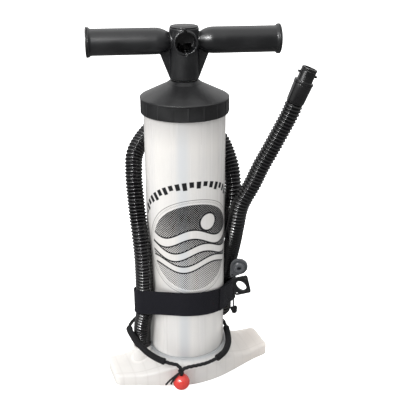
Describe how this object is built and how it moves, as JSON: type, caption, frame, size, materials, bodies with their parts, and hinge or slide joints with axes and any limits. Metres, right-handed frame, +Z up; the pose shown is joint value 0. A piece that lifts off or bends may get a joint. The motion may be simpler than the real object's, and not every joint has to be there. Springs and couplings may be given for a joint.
{
  "type": "manual inflation hand pump",
  "caption": "Stand-up hand pump with a two-wing foot board, translucent barrel, T handle, corrugated hose with bayonet nozzle, strap, loose adaptors and a leash loop with a stopper ball.",
  "frame": {"origin": "on the ground under the barrel's axis, centre of the support post under the foot board", "axes": "+Z up along the barrel and the stroke, +X along the foot board towards its right wing, -Y to the pump's front"},
  "size_m": [0.2966, 0.1728, 0.5288],
  "materials": {
    "milky_plastic": "translucent milky, softly frosted",
    "barrel_plastic": "translucent light grey, satin, dark print at the front",
    "gasket_rubber": "satin bluish grey",
    "black_plastic": "fine satin texture",
    "glossy_black": "glossy moulded",
    "black_rubber": "matt",
    "acetal": "smooth white",
    "rod_alloy": "drawn and anodised",
    "steel": "plated",
    "strap_webbing": "woven nylon hook and loop",
    "cord": "braided cord",
    "red_plastic": "satin red",
    "grey_plastic": "satin dark grey"
  },
  "bodies": {
    "pump_body": {"footplate": "milky_plastic", "duct_cover": "milky_plastic", "outlet_valve_spring": "steel", "barrel": "barrel_plastic", "barrel_gasket": "gasket_rubber", "barrel_cap": "black_plastic", "rod_bush": "acetal", "hose": "glossy_black", "hose_base_plug": "glossy_black", "base_plug_seal": "black_rubber", "hose_end_cuff": "glossy_black", "hose_nozzle": "glossy_black", "nozzle_seal": "black_rubber", "strap": "strap_webbing", "leash_cord": "cord", "leash_sleeve_left": "cord", "leash_sleeve_right": "cord", "leash_knot": "cord", "stopper_ball": "red_plastic", "adaptor_round": "grey_plastic", "adaptor_square": "black_plastic", "adaptor_tether": "cord", "tether_toggle": "cord"},
    "outlet_valve": {"outlet_valve_disc": "black_rubber"},
    "piston": {"piston_body": "acetal", "piston_seal": "black_rubber", "piston_retainer": "acetal", "rod_bumper": "black_rubber"},
    "intake_valve": {"intake_valve_disc": "black_rubber"},
    "handle": {"piston_rod": "rod_alloy", "handle_body": "black_plastic", "handle_crown": "black_plastic", "grip_plug_left": "black_plastic", "grip_plug_right": "black_plastic", "rod_screw": "steel"}
  },
  "joints": [
    {"name": "piston_slide", "type": "slide", "parent": "pump_body", "child": "piston", "axis": [0, 0, 1], "range_m": [0, 0.345]},
    {"name": "handle_turn", "type": "hinge", "parent": "piston", "child": "handle", "pos_m": [0, 0, 0.5083], "axis": [0, 0, 1], "continuous": true},
    {"name": "intake_valve_lift", "type": "slide", "parent": "piston", "child": "intake_valve", "axis": [0, 0, -1], "range_m": [0, 0.0022]},
    {"name": "outlet_valve_lift", "type": "slide", "parent": "pump_body", "child": "outlet_valve", "axis": [0, 0, -1], "range_m": [0, 0.003], "stiffness_N_per_m": 60, "springref_m": -0.001, "deforming": ["outlet_valve_spring"]}
  ]
}
